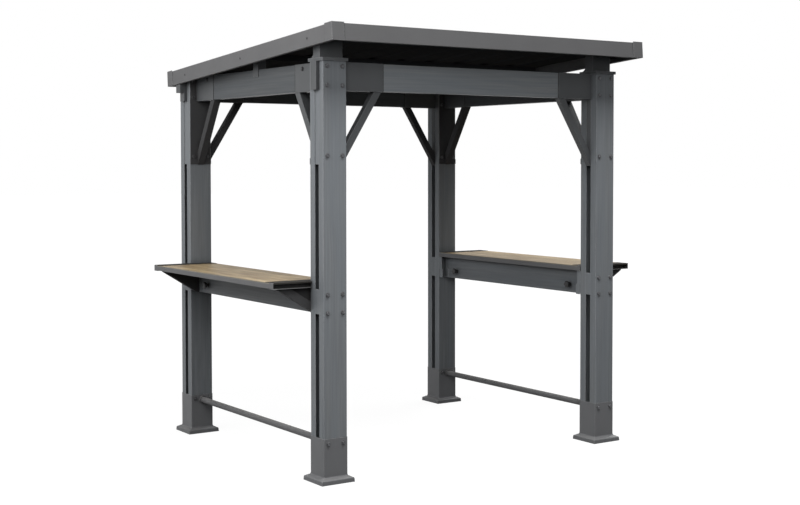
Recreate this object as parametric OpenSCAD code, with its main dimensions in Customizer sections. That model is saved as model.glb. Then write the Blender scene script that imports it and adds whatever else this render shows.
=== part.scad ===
// Garden gazebo with a single-slope roof on four slotted posts, and a serving bar on each side.
// +X is to the right along the front, +Y runs to the back, +Z is up, and the ground is at Z = 0.

/* [Posts] */
// Distance between post centres from side to side
post_span_x = 1889; // [1500:1:2400]
// Distance between post centres from front to back
post_span_y = 1654; // [1300:1:2200]
// Side of a square post
post_w = 140; // [124:1:160]
// Height of the post tops above the ground
post_h = 2231; // [2000:1:2500]
// Gap between the two channels of a post
slot_w = 40; // [30:1:56]
// Sheet thickness of the post channels
channel_wall = 3; // [2:0.5:4]
// Outer bend radius of the post channels
bend_r = 2; // [1:0.5:8]

/* [Bases] */
// Side of the moulded flange on the ground
base_w = 201; // [180:1:240]
// Height of the moulded flange, with the cove up to the sleeve
base_h = 40; // [36:1:50]
// Height of the flange's upright edge, with its rounding
base_edge_h = 24.5; // [16:0.5:26]
// Rounding at the top of the upright edge
base_edge_r = 6; // [3:0.5:8]
// How far the upright edge leans in
base_lean = 1.5; // [0:0.5:4]
// Radius of the cove at the foot of the sleeve
base_cove_r = 9; // [5:1:10]
// Height of the sleeve's top above the ground
boot_h = 240; // [225:1:320]
// Sheet thickness of the sleeve round a post's foot
boot_wall = 2.5; // [2:0.5:5]
// Thickness of the plate that a post stands on
base_floor = 6; // [4:1:12]

/* [Beams] */
// Width of a beam
beam_w = 48; // [40:1:60]
// Height of a beam
beam_h = 148; // [120:1:180]
// Wall thickness of beams and aprons
beam_wall = 3; // [2:0.5:5]
// Length of the plain sleeve on each end of the front and back beams
cross_sleeve_l = 258; // [200:1:320]
// Length of the plain sleeve on each end of the side beams
side_sleeve_l = 242; // [200:1:320]
// Sheet thickness of the beam sleeves
sleeve_t = 2; // [1.5:0.5:4]
// Width of the end cap on a post's outer side
end_cap_w = 60; // [46:1:90]
// Height of the end cap
end_cap_h = 151; // [120:1:175]
// How far the end cap stands out from the post
end_cap_t = 20; // [10:1:24]

/* [Post heads] */
// Depth of the core in the slot behind the post's outer face
core_recess = 6; // [2:1:12]
// Thickness of the cap plate on a post
cap_t = 17; // [10:1:24]
// How far the cap plate stands out past the post
cap_over = 8; // [4:1:14]
// Width of the riser under the front purlin, from side to side
riser_w = 139; // [100:1:150]
// Depth of the riser, from front to back
riser_d = 69; // [50:1:90]

/* [Knee braces] */
// Side of a square brace under the front and back beams
cross_brace_w = 40; // [30:1:46]
// Side of a square brace under the side beams
side_brace_w = 44; // [30:1:46]
// Reach of a brace along the beam
brace_run = 251; // [215:1:290]
// Height of a brace from its foot to the beam sleeve
brace_rise = 402; // [330:1:460]
// Height of the seat band at a brace's foot
seat_h = 33; // [20:1:45]
// How far the seat band stands out from the post
seat_d = 5; // [3:1:14]
// Height of the seat bands and the post head's core above the braces' feet
seat_lift = 11; // [0:1:30]

/* [Bars] */
// Height of the bar boards above the ground
bar_top = 1067; // [950:1:1150]
// Reach of a bar outwards from the post centres
bar_out = 305; // [280:1:360]
// Reach of a bar inwards from the post centres
bar_in = 74; // [72:1:110]
// Gap between a bar and the posts that it is notched round
bar_gap = 2; // [1:0.5:6]
// Reach of a bar's ends past the posts' facing sides
end_over = 19; // [4:1:24]
// Height of the long edge rails
rail_h = 26; // [20:1:40]
// Sheet thickness of the bar's frame
rail_t = 3; // [2:0.5:4]
// Width of the ledge under the boards
ledge_w = 25; // [15:1:40]
// Thickness of the bar boards
board_t = 20; // [15:1:24]
// How far the boards stand above the edge rails
board_lip = 5; // [1:0.5:8]
// Thickness of the boards where they lap the end channels
lap_t = 4; // [3:0.5:8]
// Depth of the channel across each end of a bar
end_d = 45; // [36:1:60]
// How far the end channel's side walls stand above the boards
end_lip = 1; // [0.5:0.5:5]
// How far the end channel hangs below the rails
end_drop = 3; // [1:0.5:8]

/* [Bar supports] */
// Width of the apron under a bar
apron_w = 48; // [40:1:60]
// Height of the apron
apron_h = 142; // [120:1:160]
// Sheet thickness of the apron's hangers
hanger_t = 3; // [2:0.5:5]
// Length of a hanger's lower tab along the apron
hanger_tab_l = 58; // [45:1:80]
// Height of a hanger's lower tab
hanger_tab_h = 52; // [30:1:60]
// Length of a hanger's upper strip along the apron
hanger_neck_l = 30; // [15:1:40]
// Length of the upper strip of a hanger's inner lug
lug_strip_l = 32; // [20:1:40]
// Length of the lower tab of the inner lug
lug_tab_l = 42; // [30:1:60]
// Height of the lower tab of the inner lug
lug_tab_h = 62; // [40:1:80]
// Slit between the inner lug's tab and the post
lug_slit = 7; // [3:1:12]
// Length of a gusset under the bar
gusset_l = 236; // [200:1:245]
// Height of a gusset
gusset_h = 143; // [120:1:160]
// Depth of a gusset along the bar
gusset_d = 30; // [20:1:34]
// Width of the gusset's slanted band
gusset_band = 44; // [30:1:50]
// Width of the gusset's upright leg
gusset_leg = 16; // [10:1:24]
// Height of the gusset's blunt outer nose
gusset_nose = 8; // [4:1:12]
// Height of the filler that closes a post's slot beside the apron
clip_h = 132; // [100:1:150]

/* [Foot rails] */
// Height of the foot rails' axis above the ground
foot_z = 208; // [120:1:215]
// Diameter of a foot rail
foot_d = 36; // [25:1:45]
// Diameter of the socket ring at a foot rail's end
socket_d = 46; // [40:1:60]
// Length of the socket ring
socket_l = 16; // [8:1:40]
// Clearance between a foot rail and its socket ring, all round
socket_gap = 0.2; // [0.1:0.1:0.5]

/* [Roof] */
// Slope of the roof, down towards the back, in degrees
roof_pitch = 4.08; // [3:0.01:8]
// Reach of the roof past the outer sides of the posts
side_over = 55.5; // [30:0.5:120]
// Reach of the roof past the front of the posts
front_over = 184; // [120:1:300]
// Reach of the roof past the back of the posts
back_over = 69; // [50:1:150]
// Height of the fascias
fascia_h = 89; // [80:1:120]
// Sheet thickness of the fascias
fascia_t = 3; // [2:0.5:5]
// Width of the lip turned in under the fascias
fascia_lip = 22; // [12:1:35]
// Length of each leg of the corner covers
corner_leg = 75; // [50:1:120]
// How far the corner covers stand above the fascias
corner_rise = 6; // [2:0.5:12]
// Sheet thickness of the corner covers
corner_t = 2; // [1:0.5:4]
// Depth of the roof sheet below the top of the fascias
sheet_drop = 15; // [14:1:24]
// Thickness of the roof sheet
sheet_t = 3; // [1:0.5:4]
// Height of the roof sheet's ribs
rib_h = 12; // [8:1:14]
// Width of a rib at its foot
rib_w = 70; // [50:1:90]
// Width of a rib at its top
rib_top_w = 34; // [20:1:45]
// Distance between neighbouring ribs
rib_pitch = 210; // [150:1:260]
// Gap between the back post caps and the roof sheet
roof_gap = 3; // [2:0.5:10]

/* [Purlins] */
// Width of a purlin from front to back
purlin_w = 60; // [40:1:70]
// Height of the front and middle purlins
purlin_h = 34; // [25:1:45]
// Distance from the back posts' inner faces to the middle of the back purlin
back_purlin_set = 52; // [45:1:120]
// Distance of the middle purlin to the front of the posts' mid line
mid_purlin_set = 49; // [0:1:120]
// Width of the struts under the middle purlin
strut_w = 63; // [45:1:90]
// Depth of the strut's lap on the beam's outer face
strut_lap_h = 40; // [25:1:60]
// Thickness of the strut's lap
strut_lap_t = 4; // [3:0.5:8]
// How far the roof brackets stand out from the back end caps
bracket_d = 27; // [18:1:32]
// Height of the roof brackets
bracket_h = 53; // [40:1:70]

/* [Hidden] */

// Sides and ends, as signs along X and Y
left = -1;
right = 1;
front = -1;
back = 1;

// Paint and wood colours
grained_grey = [0.44, 0.46, 0.47];
plain_grey = [0.38, 0.38, 0.39];
roof_grey = [0.45, 0.45, 0.46];
board_tan = [0.66, 0.58, 0.45];

// Overrun of a cut past the face it opens
over = 1;
// Steps along a curved edge
curve_steps = 8;
// Facets of round tubes and bends
round_fn = 48;

// Roof lengths, and the places of the posts that centre the roof over the origin
roof_depth = front_over + back_over + post_span_y + post_w;
roof_slope_l = roof_depth / cos(roof_pitch);
roof_front_y = ((fascia_h - corner_rise) * sin(roof_pitch) - roof_depth) / 2;
front_y = roof_front_y + front_over + post_w / 2;
back_y = front_y + post_span_y;
mid_y = (front_y + back_y) / 2;
clear_x = post_span_x - post_w;
clear_y = post_span_y - post_w;

// Post, base and head sizes
channel_d = (post_w - slot_w) / 2;
channel_bend_in = max(bend_r - channel_wall, 0.5);
boot_w = post_w + 2 * boot_wall;
cap_w = post_w + 2 * cap_over;
cap_top = post_h + cap_t;

// Heights of the beams and braces
beam_top = post_h - sleeve_t;
beam_z = beam_top - beam_h;
sleeve_z = beam_z - sleeve_t;
brace_foot_z = sleeve_z - brace_rise;
brace_angle = atan2(brace_rise, brace_run);
seat_z = brace_foot_z + seat_lift;

// Bar lengths and heights
bar_w = bar_in + bar_out;
bar_l = clear_y + 2 * end_over;
rail_l = bar_l - 2 * end_d;
rail_z = bar_top - board_lip - rail_h;
ledge_z = bar_top - board_t - rail_t;
end_z = rail_z - end_drop;
end_h = bar_top + end_lip - end_z;
lap_z = bar_top - lap_t;
apron_z = end_z - apron_h;
hanger_w = apron_w + 2 * hanger_t;
clip_z = apron_z + (apron_h - clip_h) / 2;
gusset_angle = atan2(gusset_h - gusset_nose, gusset_l - gusset_leg);

// Roof levels: the sheet's underside clears the back post caps
sheet_under = sheet_drop + sheet_t;
back_cap_y = back_y + cap_w / 2;
roof_front_z = cap_top + roof_gap + (back_cap_y - roof_front_y) * tan(roof_pitch)
  + sheet_under / cos(roof_pitch);
roof_w = post_span_x + post_w + 2 * side_over;
roof_inner_w = roof_w - 2 * fascia_t;
cover_h = fascia_h + corner_rise;
rib_count = floor((roof_inner_w - rib_w) / rib_pitch / 2);

// Places of the purlins
mid_purlin_y = mid_y - mid_purlin_set;
back_purlin_y = back_y - post_w / 2 - back_purlin_set;

// Height of a plane parallel to the roof, at a depth below the fascia tops
function roof_z(y, depth) = roof_front_z - (y - roof_front_y) * tan(roof_pitch) - depth / cos(roof_pitch);

// Level underside of a purlin of the full height
function purlin_z(y) = roof_z(y, sheet_under) - purlin_h;

// Smooth step from 0 to 1, for S-shaped edges
function s_curve(t) = t * t * (3 - 2 * t);

// Extrusions of an outline drawn in (Y, Z) or in (X, Z), centred on its plane
module along_x(length) rotate([90, 0, 90]) linear_extrude(length, center = true) children();
module along_y(length) rotate([90, 0, 0]) linear_extrude(length, center = true) children();

// Places the children on the axis of one post, at ground level
module at_post(side, end) translate([side * post_span_x / 2, end == front ? front_y : back_y, 0]) children();

// As at_post, mirrored so that +X and +Y point into the gazebo
module into_post(side, end)
  at_post(side, end) mirror([side == right ? 1 : 0, 0, 0]) mirror([0, end == back ? 1 : 0, 0]) children();

// Places the children half way along one bar, with +X pointing outwards
module at_bar(side)
  translate([side * post_span_x / 2, mid_y, 0]) mirror([side == left ? 1 : 0, 0, 0]) children();

// Repeats what is drawn at a bar's +Y end on both ends
module both_ends() for (flip = [0, 1]) mirror([0, flip, 0]) children();

// Roof frame: origin at the front fascia's top edge, +Y down the slope, +Z square to the roof
module on_roof() translate([0, roof_front_y, roof_front_z]) rotate([-roof_pitch, 0, 0]) children();

// Box standing on Z = 0, centred on X and Y
module block(w, d, h) translate([-w / 2, -d / 2, 0]) cube([w, d, h]);

// Rectangular tube along X, standing on Z = 0
module box_tube(length, w, h, wall) difference() {
  block(length, w, h);
  translate([0, 0, wall]) block(length + 2 * over, w - 2 * wall, h - 2 * wall);
}

// Upright rectangular tube, standing on Z = 0
module box_post(w, d, h, wall) difference() {
  block(w, d, h);
  translate([0, 0, -over]) block(w - 2 * wall, d - 2 * wall, h + 2 * over);
}

// Plate outline from Y = 0 to Y = d whose two corners at Y = 0 are rounded
module rounded_edge(w, d, r) {
  translate([-w / 2, r]) square([w, d - r]);
  translate([r - w / 2, 0]) square([w - 2 * r, d]);
  for (side = [left, right]) translate([side * (w / 2 - r), r]) circle(r, $fn = round_fn);
}

// Square outline with rounded corners, centred
module rounded_square(w, r) {
  square([w, w - 2 * r], center = true);
  square([w - 2 * r, w], center = true);
  for (x = [left, right], y = [front, back])
    translate([x, y] * (w / 2 - r)) circle(r, $fn = round_fn);
}

// Section of a post's front channel, open to the back
module channel_section() difference() {
  rounded_edge(post_w, channel_d, bend_r);
  translate([0, channel_wall]) rounded_edge(post_w - 2 * channel_wall, channel_d, channel_bend_in);
}

// Post: two channels face to face with a slot between them
module post(side, end) color(grained_grey) at_post(side, end)
  for (turn = [0, 180]) rotate(turn)
    translate([0, -post_w / 2, base_floor]) linear_extrude(post_h - base_floor) channel_section();

// Section of the moulded flange: an upright edge, a sloping top and a cove up to the sleeve
module flange_section() {
  edge = [base_w / 2 - base_lean - base_edge_r, base_edge_h - base_edge_r];
  cove = [boot_w / 2 + base_cove_r, base_h];
  half = concat(
    [[base_w / 2, 0]],
    [for (i = [0 : curve_steps]) let (a = i / curve_steps * 90) edge + base_edge_r * [cos(a), sin(a)]],
    [for (i = [0 : curve_steps]) let (a = i / curve_steps * 90) cove - base_cove_r * [sin(a), cos(a)]]
  );
  polygon(concat(half, [for (i = [len(half) - 1 : -1 : 0]) [-half[i].x, half[i].y]]));
}

// Base: moulded flange and a sleeve round the foot of the post
module base(side, end) color(plain_grey) at_post(side, end) difference() {
  union() {
    intersection() {
      along_x(base_w) flange_section();
      along_y(base_w) flange_section();
    }
    linear_extrude(boot_h) rounded_square(boot_w, bend_r + boot_wall);
  }
  translate([0, 0, base_floor]) linear_extrude(boot_h) rounded_square(post_w, bend_r);
}

// Head: a core in the slot from the braces up, a cap plate, and on the front posts a riser
module head(side, end) color(plain_grey) at_post(side, end) {
  translate([-side * core_recess / 2, 0, seat_z])
    box_post(post_w - core_recess, slot_w, post_h - seat_z, channel_wall);
  translate([0, 0, post_h]) block(cap_w, cap_w, cap_t);
  if (end == front) translate([0, 0, cap_top]) block(riser_w, riser_d, purlin_z(front_y) - cap_top);
}

// Beam from post to post, across the front or the back
module cross_beam(end) color(grained_grey)
  translate([0, end == front ? front_y : back_y, beam_z]) box_tube(clear_x, beam_w, beam_h, beam_wall);

// Beam from post to post along one side
module side_beam(side) color(grained_grey)
  translate([side * post_span_x / 2, mid_y, beam_z]) rotate(90) box_tube(clear_y, beam_w, beam_h, beam_wall);

// Sleeve on a beam's end, reaching along +X from a post's face
module beam_sleeve(length) translate([(post_w + length) / 2, 0, sleeve_z])
  box_tube(length, beam_w + 2 * sleeve_t, beam_h + 2 * sleeve_t, sleeve_t);

module cross_beam_sleeves() color(plain_grey)
  for (side = [left, right], end = [front, back]) into_post(side, end) beam_sleeve(cross_sleeve_l);

module side_beam_sleeves() color(plain_grey)
  for (side = [left, right], end = [front, back]) into_post(side, end) rotate(90) beam_sleeve(side_sleeve_l);

// Closed end of the cross beam's fixing on the outer side of each post
module beam_end_caps() color(plain_grey)
  for (side = [left, right], end = [front, back]) into_post(side, end)
    translate([-(post_w + end_cap_t) / 2, 0, post_h - end_cap_h]) block(end_cap_t, end_cap_w, end_cap_h);

// Brace outline from a post's face, rising towards the beam sleeve
module brace_outline(w) polygon([
  [0, 0],
  [brace_run, brace_rise],
  [brace_run - w / sin(brace_angle), brace_rise],
  [0, w / cos(brace_angle)]
]);

// The two braces of one post, the one along the side notched over its seat band
module braces(side, end) color(plain_grey) into_post(side, end) translate([0, 0, brace_foot_z]) {
  translate([post_w / 2, 0, 0]) along_y(cross_brace_w) brace_outline(cross_brace_w);
  translate([0, post_w / 2, 0]) along_x(side_brace_w) difference() {
    brace_outline(side_brace_w);
    translate([0, -over]) square([seat_d, seat_lift + seat_h + over]);
  }
}

module brace_seats() color(plain_grey)
  for (side = [left, right], end = [front, back]) into_post(side, end)
    translate([0, (post_w + seat_d) / 2, seat_z]) block(post_w, seat_d, seat_h);

// Long edge of a bar's frame: an upright face with a ledge towards +X
module edge_rail() {
  translate([0, -rail_l / 2, rail_z]) cube([rail_t, rail_l, rail_h]);
  translate([0, -rail_l / 2, ledge_z]) cube([ledge_w, rail_l, rail_t]);
}

// Cut round the post at a bar's +Y end
module post_notch() translate([-bar_in - over, clear_y / 2 - bar_gap, end_z - over])
  cube([bar_in + over + post_w / 2 + bar_gap, end_over + bar_gap + over, end_h + 2 * over]);

// Channel across the +Y end of a bar's frame, open to the post, with the boards' seat between its side walls
module end_channel() difference() {
  inner_w = bar_w - 2 * rail_t;
  translate([-bar_in, bar_l / 2 - end_d, 0]) difference() {
    translate([0, 0, end_z]) cube([bar_w, end_d, end_h]);
    translate([rail_t, rail_t, end_z + rail_t]) cube([inner_w, end_d, lap_z - end_z - 2 * rail_t]);
    translate([rail_t, -over, lap_z]) cube([inner_w, end_d + 2 * over, end_h]);
  }
  post_notch();
}

module bar_frame(side) color(plain_grey) at_bar(side) {
  translate([-bar_in, 0, 0]) edge_rail();
  translate([bar_out, 0, 0]) mirror([1, 0, 0]) edge_rail();
  both_ends() end_channel();
}

// Boards between the rails, thinner where they lap the end channels
module bar_boards(side) color(board_tan) at_bar(side) difference() {
  translate([(bar_out - bar_in) / 2, 0, 0]) {
    translate([0, 0, bar_top - board_t]) block(bar_w - 2 * rail_t, rail_l, board_t);
    translate([0, 0, lap_z]) block(bar_w - 2 * rail_t, bar_l, lap_t);
  }
  both_ends() post_notch();
}

// Apron under a bar, held in a hanger at each end
module apron(side) color(grained_grey) at_bar(side)
  translate([0, 0, apron_z]) rotate(90) box_tube(clear_y - 2 * hanger_t, apron_w, apron_h, beam_wall);

// Cheek of a hanger: a lower tab that narrows by an S-curve into an upper strip
module hanger_cheek() polygon(concat(
  [[0, apron_h], [0, 0], [-hanger_tab_l, 0]],
  [for (i = [0 : curve_steps]) let (t = i / curve_steps)
    [-hanger_tab_l + s_curve(t) * (hanger_tab_l - hanger_neck_l), hanger_tab_h + t * hanger_neck_l]],
  [[-hanger_neck_l, apron_h]]
));

// Lug of a hanger, in line with the post's inner side: an upper strip and a tab clear of the post
module hanger_lug() polygon([
  [0, apron_h], [0, lug_tab_h], [-lug_slit, lug_tab_h], [-lug_slit, 0],
  [-lug_tab_l, 0], [-lug_tab_l, lug_tab_h], [-lug_strip_l, lug_tab_h], [-lug_strip_l, apron_h]
]);

// Hanger: a plate on the post's face, a cheek on each side of the apron and a lug on the inner side
module hanger() translate([0, clear_y / 2, apron_z]) {
  translate([(hanger_w - post_w) / 4, -hanger_t / 2, 0]) block((hanger_w + post_w) / 2, hanger_t, apron_h);
  for (side = [left, right])
    translate([side * (hanger_w - hanger_t) / 2, 0, 0]) along_x(hanger_t) hanger_cheek();
  translate([(hanger_t - post_w) / 2, 0, 0]) along_x(hanger_t) hanger_lug();
}

module apron_hangers() color(plain_grey)
  for (side = [left, right]) at_bar(side) both_ends() hanger();

// Gusset outline, below the bar and outwards from the hanger
module gusset_outline() polygon([
  [0, 0], [gusset_l, 0], [gusset_l, -gusset_nose], [gusset_leg, -gusset_h], [0, -gusset_h]
]);

// Recess inside the gusset's slanted band and upright leg
module gusset_recess() {
  band_rise = gusset_band / cos(gusset_angle);
  tip_x = gusset_l - (band_rise + rail_t - gusset_nose) / tan(gusset_angle);
  polygon([[gusset_leg, -rail_t], [tip_x, -rail_t], [gusset_leg, band_rise - gusset_h]]);
}

// Gusset at a bar's +Y end, its recess open to the post
module gusset() translate([hanger_w / 2, (clear_y - gusset_d) / 2, end_z]) difference() {
  along_y(gusset_d) gusset_outline();
  translate([0, rail_t, 0]) along_y(gusset_d) gusset_recess();
}

module bar_gussets() color(plain_grey)
  for (side = [left, right]) at_bar(side) both_ends() gusset();

// Fillers that close the slots of the posts beside the aprons
module slot_clips() color(plain_grey)
  for (side = [left, right], end = [front, back]) at_post(side, end)
    translate([0, 0, clip_z]) box_post(post_w, slot_w, clip_h, channel_wall);

// Round rail between the post sleeves of one side
module foot_rail(side) color(plain_grey)
  translate([side * post_span_x / 2, mid_y, foot_z]) rotate([90, 0, 0])
    cylinder(d = foot_d, h = post_span_y - boot_w, center = true, $fn = round_fn);

module foot_rail_sockets() color(plain_grey)
  for (side = [left, right], end = [front, back]) into_post(side, end)
    translate([0, boot_w / 2, foot_z]) rotate([-90, 0, 0]) difference() {
      cylinder(d = socket_d, h = socket_l, $fn = round_fn);
      translate([0, 0, -over])
        cylinder(d = foot_d + 2 * socket_gap, h = socket_l + 2 * over, $fn = round_fn);
    }

// Fascia across the front or the back, between the side fascias, with its lip turned in
module cross_fascia(end) color(roof_grey) on_roof()
  translate([0, end == front ? 0 : roof_slope_l, -fascia_h]) mirror([0, end == back ? 1 : 0, 0]) {
    translate([0, fascia_t / 2, 0]) block(roof_inner_w, fascia_t, fascia_h);
    translate([0, fascia_lip / 2, 0]) block(roof_w - 2 * fascia_lip, fascia_lip, fascia_t);
  }

// Fascia down one side, with its lip turned in
module side_fascia(side) color(roof_grey) on_roof()
  mirror([side == left ? 1 : 0, 0, 0]) translate([roof_w / 2, roof_slope_l / 2, -fascia_h]) {
    translate([-fascia_t / 2, 0, 0]) block(fascia_t, roof_slope_l, fascia_h);
    translate([-fascia_lip / 2, 0, 0]) block(fascia_lip, roof_slope_l - 2 * fascia_t, fascia_t);
  }

// Angle covers over the four corners of the fascias
module fascia_corners() color(roof_grey) on_roof()
  for (side = [left, right], end = [front, back])
    translate([0, roof_slope_l / 2, -fascia_h]) mirror([side == left ? 1 : 0, 0, 0])
      mirror([0, end == front ? 1 : 0, 0]) translate([roof_w / 2, roof_slope_l / 2, 0]) difference() {
        translate([corner_t - corner_leg, corner_t - corner_leg, 0]) cube([corner_leg, corner_leg, cover_h]);
        translate([-corner_leg, -corner_leg, -over]) cube([corner_leg, corner_leg, cover_h + 2 * over]);
      }

// Upper line of the ribbed sheet, from left to right
function sheet_line() = concat(
  [[-roof_inner_w / 2, 0]],
  [for (i = [-rib_count : rib_count], p = [[-rib_w, 0], [-rib_top_w, rib_h], [rib_top_w, rib_h], [rib_w, 0]])
    [i * rib_pitch + p.x / 2, p.y]],
  [[roof_inner_w / 2, 0]]
);

// Ribbed roof sheet inside the fascias, its ribs running down the slope
module roof_sheet() color(roof_grey) on_roof() {
  top = sheet_line();
  translate([0, roof_slope_l / 2, -sheet_drop]) along_y(roof_slope_l - 2 * fascia_t)
    polygon(concat(top, [for (i = [len(top) - 1 : -1 : 0]) top[i] - [0, sheet_t]]));
}

// Purlin across the roof, level below and sloped with the sheet above
module purlin(y, z) along_x(roof_inner_w) polygon([
  [y - purlin_w / 2, z],
  [y + purlin_w / 2, z],
  [y + purlin_w / 2, roof_z(y + purlin_w / 2, sheet_under)],
  [y - purlin_w / 2, roof_z(y - purlin_w / 2, sheet_under)]
]);

module roof_purlins() color(roof_grey) {
  purlin(front_y, purlin_z(front_y));
  purlin(mid_purlin_y, purlin_z(mid_purlin_y));
  purlin(back_purlin_y, post_h);
}

// Struts from the side beams to the middle purlin, each lapping the beam's outer face
module purlin_struts() color(plain_grey)
  for (side = [left, right]) at_bar(side) translate([0, mid_purlin_y - mid_y, 0]) {
    translate([0, 0, beam_top]) block(beam_w, strut_w, purlin_z(mid_purlin_y) - beam_top);
    translate([(beam_w + strut_lap_t) / 2, 0, beam_top - strut_lap_h])
      block(strut_lap_t, strut_w, purlin_z(mid_purlin_y) - beam_top + strut_lap_h);
  }

// Brackets on the back end caps that carry the lips of the side fascias
module roof_brackets() color(plain_grey) {
  bracket_x = (post_span_x + post_w + bracket_d) / 2 + end_cap_t;
  bracket_z = roof_z(back_y, fascia_h) - bracket_h;
  low_y = back_y - end_cap_w / 2;
  high_y = back_y + end_cap_w / 2;
  for (side = [left, right]) translate([side * bracket_x, 0, 0]) along_x(bracket_d) polygon([
    [low_y, bracket_z],
    [high_y, bracket_z],
    [high_y, roof_z(high_y, fascia_h)],
    [low_y, roof_z(low_y, fascia_h)]
  ]);
}

post(left, front);  // front_left_post
post(right, front);  // front_right_post
post(left, back);  // back_left_post
post(right, back);  // back_right_post
base(left, front);  // front_left_base
base(right, front);  // front_right_base
base(left, back);  // back_left_base
base(right, back);  // back_right_base
head(left, front);  // front_left_head
head(right, front);  // front_right_head
head(left, back);  // back_left_head
head(right, back);  // back_right_head
cross_beam(front);  // front_beam
cross_beam(back);  // back_beam
side_beam(left);  // left_beam
side_beam(right);  // right_beam
cross_beam_sleeves();
side_beam_sleeves();
beam_end_caps();
braces(left, front);  // front_left_braces
braces(right, front);  // front_right_braces
braces(left, back);  // back_left_braces
braces(right, back);  // back_right_braces
brace_seats();
bar_frame(left);  // left_bar_frame
bar_frame(right);  // right_bar_frame
bar_boards(left);  // left_bar_boards
bar_boards(right);  // right_bar_boards
apron(left);  // left_apron
apron(right);  // right_apron
apron_hangers();
bar_gussets();
slot_clips();
foot_rail(left);  // left_foot_rail
foot_rail(right);  // right_foot_rail
foot_rail_sockets();
cross_fascia(front);  // front_fascia
cross_fascia(back);  // back_fascia
side_fascia(left);  // left_fascia
side_fascia(right);  // right_fascia
fascia_corners();
roof_sheet();
roof_purlins();
purlin_struts();
roof_brackets();
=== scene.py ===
"""Garden gazebo: the finish of its coated steel frame, its wooden serving bars and its small fixings."""
import math
from collections import namedtuple

import bmesh
import bpy
from mathutils import Matrix, Vector


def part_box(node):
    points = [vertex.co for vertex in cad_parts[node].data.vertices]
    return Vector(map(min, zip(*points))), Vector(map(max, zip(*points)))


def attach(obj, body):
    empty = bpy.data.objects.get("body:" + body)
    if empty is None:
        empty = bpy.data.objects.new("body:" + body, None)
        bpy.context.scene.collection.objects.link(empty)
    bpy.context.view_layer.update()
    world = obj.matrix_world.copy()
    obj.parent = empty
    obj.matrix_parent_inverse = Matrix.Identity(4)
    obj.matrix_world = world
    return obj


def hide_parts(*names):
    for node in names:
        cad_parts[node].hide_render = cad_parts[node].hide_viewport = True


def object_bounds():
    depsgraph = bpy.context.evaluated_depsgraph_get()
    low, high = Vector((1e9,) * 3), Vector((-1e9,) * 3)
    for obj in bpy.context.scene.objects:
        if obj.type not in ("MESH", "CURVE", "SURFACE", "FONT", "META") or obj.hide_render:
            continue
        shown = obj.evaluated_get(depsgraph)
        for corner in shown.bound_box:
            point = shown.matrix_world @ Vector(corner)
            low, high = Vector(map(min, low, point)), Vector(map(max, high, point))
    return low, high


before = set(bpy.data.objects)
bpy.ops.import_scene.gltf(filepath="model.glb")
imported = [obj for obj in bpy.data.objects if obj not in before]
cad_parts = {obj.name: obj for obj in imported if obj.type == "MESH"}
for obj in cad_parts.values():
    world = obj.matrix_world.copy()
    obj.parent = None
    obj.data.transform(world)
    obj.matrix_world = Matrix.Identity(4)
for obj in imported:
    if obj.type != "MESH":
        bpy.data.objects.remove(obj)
cad_low, cad_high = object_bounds()

# All lengths are in metres. Sides and ends are signs along X and Y.
SIDES = {"left": -1, "right": 1}
ENDS = {"front": -1, "back": 1}
CORNERS = [(end, side) for end in ENDS for side in SIDES]

# Rounding of the steel pieces' sharp edges
EDGE_ROUND = 0.0012
EDGE_STEPS = 2
EDGE_ARC = 0.5
SHARP_ANGLE = math.radians(32)
FLAT_ANGLE = math.radians(0.4)
WELD_GAP = 0.00002
FLAT_WEIGHT = 100

# Fixings: radius, then height over the surface
WASHER = (0.0125, 0.0022)
BOLT_HEAD = (0.0098, 0.0085)
KNOB = (0.021, 0.034)
ROOF_WASHER = (0.009, 0.0016)
ROOF_SCREW = (0.0052, 0.0062)
PAN_HEAD = (0.0065, 0.004)

# Profiles of the fixings from the foot up, in shares of their radius and height
HEX_PROFILE = ((1.0, 0.82), (0.86, 1.0), (0.5, 1.0), (0.42, 0.94))
PAN_PROFILE = ((1.0, 0.0), (0.92, 0.55), (0.6, 0.9), (0.2, 1.0))
NECK_PROFILE = ((0.62, 0.0), (0.62, 0.1), (0.4, 0.14), (0.4, 0.42))
KNOB_PROFILE = ((0.7, 0.4), (1.0, 0.5), (1.0, 0.86), (0.88, 0.97), (0.3, 1.0))
WASHER_EDGE = 0.4
KNOB_LOBES = 5
KNOB_DIP = 0.14
HEX_SIDES = 6
PAN_SIDES = 16
NECK_SIDES = 20
WASHER_SIDES = 24
KNOB_SIDES = 40
GOLDEN_TURN = math.radians(137.5)

# Places of the fixings
POST_BOLT_SET = 0.046
INNER_ROWS = 3
HEAD_BOLT_DROP = 0.027
HEAD_BOLT_RISE = 0.024
BRACE_BOLT_RISE = 0.047
APRON_BOLT_DROP = 0.031
APRON_BOLT_RISE = 0.014
BOOT_BOLT_DROP = 0.027
BOOT_WALL = 0.0025
KNOB_SET = 0.150
KNOB_RISE = 0.050
BACK_PURLIN_SET = 0.052
SLEEVE_BOLT_SET = 0.157
SLEEVE_BOLT_DROP = 0.026
FASCIA_SCREW_DROP = 0.045
RIB_PITCH = 0.21
RIBS_EACH_SIDE = 4

# Cover on the recessed core in each post's outer slot
CORE_RECESS = 0.006
COVER_W = 0.039
COVER_T = 0.0035

# Painted shadow line round the inner end of each beam sleeve, a dark strip standing in for the shade in the
# gap there
SHADOW_LINE_W = 0.003
SHADOW_LINE_RISE = 0.0004
SIDE_SLEEVE = 0.242
CROSS_SLEEVE = 0.258
SLEEVE_W = 0.052

# Roof's slope and fascias, and the reach of the corner covers along them
ROOF_PITCH = math.radians(4.08)
FASCIA_H = 0.089
CORNER_LEG = 0.073

# Dark plate of painted shade on each post's facing side, above the brace's seat, where the post lies in shade
SHADE_PLATE_W = 0.134
SHADE_PLATE_T = 0.0012
SHADE_PLATE_ROUND = 0.0003

# Wooden boards of a bar
BOARD_COUNT = 5
BOARD_GAP = 0.0022
BOARD_ROUND = 0.0015
LAP_THICKNESS = 0.004
LAP_DEPTH = 0.045
POST_GAP = 0.002

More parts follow.
